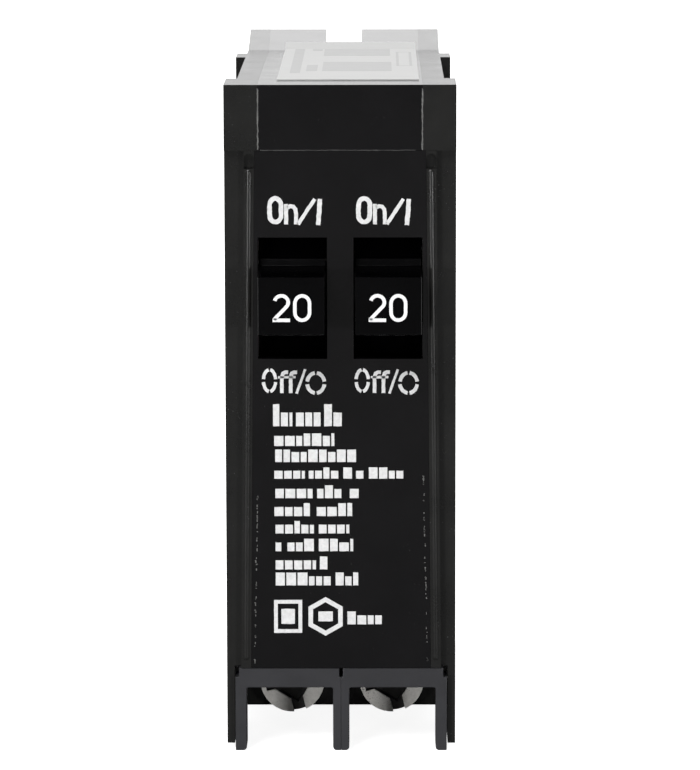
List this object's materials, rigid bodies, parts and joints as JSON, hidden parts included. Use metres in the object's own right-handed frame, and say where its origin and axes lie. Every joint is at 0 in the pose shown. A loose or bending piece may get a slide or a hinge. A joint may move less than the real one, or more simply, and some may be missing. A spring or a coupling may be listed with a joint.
{
  "type": "duplex plug-on circuit breaker",
  "caption": "Black duplex plug-on circuit breaker with side-by-side toggle handles, screw load terminals between prongs, and a rear slot for a bus stab.",
  "frame": {"origin": "middle of the bounding box, at the height of the prong tips and the rear foot", "axes": "+X across the poles, +Z from the load end to the line end, -Y the way the handles face"},
  "size_m": [0.0254, 0.0666, 0.076],
  "materials": {
    "case_black": "semi-gloss moulded thermoset, near black",
    "handle_black": "smooth semi-gloss moulding",
    "shroud_grey": "satin charcoal moulding",
    "zinc_plate": "zinc-plated steel, lightly oxidised",
    "plain_steel": "stamped steel",
    "copper": "bare copper strip",
    "braid_copper": "woven fine copper wire",
    "silver_alloy": "satin silver-alloy contact",
    "fibre": "vulcanised fibre sheet",
    "label_white": null,
    "tinned_clip": "tin-plated copper alloy"
  },
  "bodies": {
    "case": {"case_centre": "case_black", "cover_left": "case_black", "cover_right": "case_black", "rivets": "zinc_plate", "end_label": "label_white", "terminal_shroud_left": "shroud_grey", "terminal_shroud_right": "shroud_grey", "terminal_collar_left": "zinc_plate", "terminal_collar_right": "zinc_plate", "load_strap_left": "copper", "load_strap_right": "copper", "bimetal_left": "plain_steel", "bimetal_right": "plain_steel", "magnet_yoke_left": "plain_steel", "magnet_yoke_right": "plain_steel", "fixed_contact_left": "silver_alloy", "fixed_contact_right": "silver_alloy", "main_spring_left": "plain_steel", "main_spring_right": "plain_steel", "braid_left": "braid_copper", "braid_right": "braid_copper", "calibration_screw_left": "plain_steel", "calibration_screw_right": "plain_steel", "arc_plates_left": "plain_steel", "arc_plates_right": "plain_steel", "arc_frame_left": "fibre", "arc_frame_right": "fibre", "line_strap": "copper", "line_clip": "tinned_clip", "clip_spring": "plain_steel"},
    "handle_left": {"handle_left": "handle_black", "arm_pin_left": "plain_steel"},
    "contact_arm_left": {"contact_arm_left": "copper", "moving_contact_left": "silver_alloy"},
    "cradle_left": {"cradle_left": "plain_steel"},
    "armature_left": {"armature_left": "plain_steel"},
    "pressure_pad_left": {"pressure_pad_left": "zinc_plate"},
    "terminal_screw_left": {"terminal_screw_left": "zinc_plate"},
    "handle_right": {"handle_right": "handle_black", "arm_pin_right": "plain_steel"},
    "contact_arm_right": {"contact_arm_right": "copper", "moving_contact_right": "silver_alloy"},
    "cradle_right": {"cradle_right": "plain_steel"},
    "armature_right": {"armature_right": "plain_steel"},
    "pressure_pad_right": {"pressure_pad_right": "zinc_plate"},
    "terminal_screw_right": {"terminal_screw_right": "zinc_plate"}
  },
  "joints": [
    {"name": "handle_left_swing", "type": "hinge", "parent": "case", "child": "handle_left", "pos_m": [-0.00525, -0.01675, 0.0508], "axis": [-1, 0, 0], "range_deg": [-17, 17]},
    {"name": "contact_arm_left_swing", "type": "hinge", "parent": "handle_left", "child": "contact_arm_left", "pos_m": [-0.0064, -0.01075, 0.0548], "axis": [-1, 0, 0], "range_deg": [-36, 36], "deforming": ["main_spring_left", "braid_left"]},
    {"name": "cradle_left_trip", "type": "hinge", "parent": "case", "child": "cradle_left", "pos_m": [-0.0097, -0.00675, 0.066], "axis": [1, 0, 0], "range_deg": [0, 12], "stiffness_Nm_per_rad": 0.005},
    {"name": "armature_left_pull", "type": "hinge", "parent": "case", "child": "armature_left", "pos_m": [-0.0064, 0.00575, 0.0445], "axis": [1, 0, 0], "range_deg": [0, 4.5], "stiffness_Nm_per_rad": 0.002},
    {"name": "pressure_pad_left_slide", "type": "slide", "parent": "case", "child": "pressure_pad_left", "axis": [0, 1, 0], "range_m": [0, 0.00321]},
    {"name": "terminal_screw_left_turn", "type": "hinge", "parent": "pressure_pad_left", "child": "terminal_screw_left", "pos_m": [-0.00565, -0.01475, 0.0053], "axis": [0, 1, 0], "range_deg": [0, 1455.4]},
    {"name": "handle_right_swing", "type": "hinge", "parent": "case", "child": "handle_right", "pos_m": [0.00525, -0.01675, 0.0508], "axis": [-1, 0, 0], "range_deg": [-17, 17]},
    {"name": "contact_arm_right_swing", "type": "hinge", "parent": "handle_right", "child": "contact_arm_right", "pos_m": [0.0064, -0.01075, 0.0548], "axis": [-1, 0, 0], "range_deg": [-36, 36], "deforming": ["main_spring_right", "braid_right"]},
    {"name": "cradle_right_trip", "type": "hinge", "parent": "case", "child": "cradle_right", "pos_m": [0.0097, -0.00675, 0.066], "axis": [1, 0, 0], "range_deg": [0, 12], "stiffness_Nm_per_rad": 0.005},
    {"name": "armature_right_pull", "type": "hinge", "parent": "case", "child": "armature_right", "pos_m": [0.0064, 0.00575, 0.0445], "axis": [1, 0, 0], "range_deg": [0, 4.5], "stiffness_Nm_per_rad": 0.002},
    {"name": "pressure_pad_right_slide", "type": "slide", "parent": "case", "child": "pressure_pad_right", "axis": [0, 1, 0], "range_m": [0, 0.00321]},
    {"name": "terminal_screw_right_turn", "type": "hinge", "parent": "pressure_pad_right", "child": "terminal_screw_right", "pos_m": [0.00565, -0.01475, 0.0053], "axis": [0, 1, 0], "range_deg": [0, 1455.4]}
  ],
  "couplings": [
    {"joint": "contact_arm_left_swing", "follows": "handle_left_swing", "ratio": -2.082},
    {"joint": "terminal_screw_left_turn", "follows": "pressure_pad_left_slide", "rad_per_m": 7913.3},
    {"joint": "contact_arm_right_swing", "follows": "handle_right_swing", "ratio": -2.082},
    {"joint": "terminal_screw_right_turn", "follows": "pressure_pad_right_slide", "rad_per_m": 7913.3}
  ]
}
